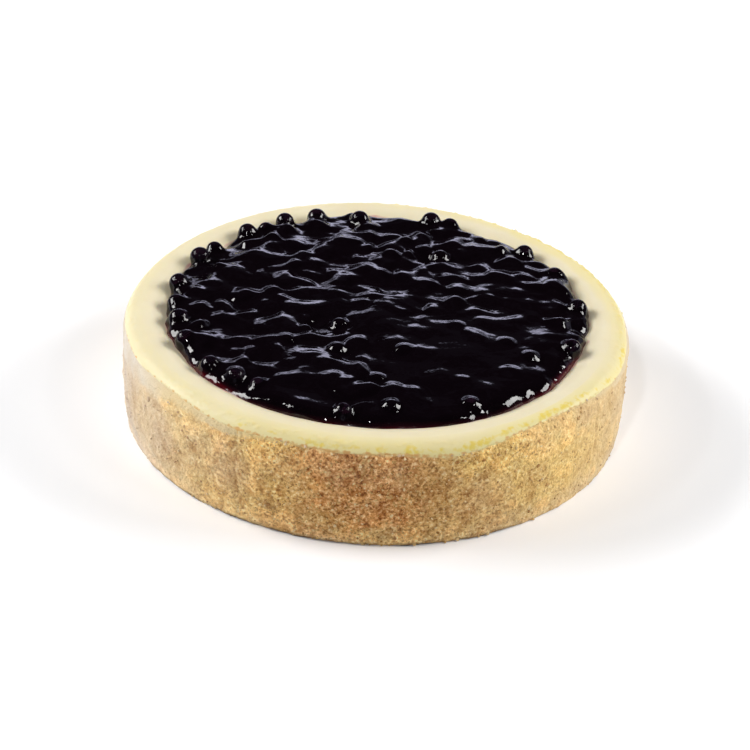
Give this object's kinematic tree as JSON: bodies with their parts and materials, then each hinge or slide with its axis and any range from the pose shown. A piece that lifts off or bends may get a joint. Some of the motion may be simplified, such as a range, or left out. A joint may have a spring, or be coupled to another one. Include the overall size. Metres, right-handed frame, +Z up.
{
  "type": "baked cheesecake",
  "caption": "Whole round baked cheesecake: crumb crust cup, pale filling with a raised smooth rim, and a glazed dark berry topping set in its dipped middle.",
  "frame": {"origin": "middle of the flat underside of the crust", "axes": "+Z up, -Y towards the side that the picture shows as the front, +X to the right of that side"},
  "size_m": [0.2304, 0.2292, 0.0578],
  "materials": {
    "crumb": "baked biscuit crumb, rough and matte, golden brown with darker and paler grains",
    "filling": "baked soft cheese, smooth, pale cream yellow, satin",
    "topping": "dark purple berries in wet clear glaze, nearly black, deep red where thin"
  },
  "bodies": {
    "root": {"crumb_crust": "crumb", "cheese_filling": "filling", "berry_topping": "topping"}
  },
  "joints": []
}
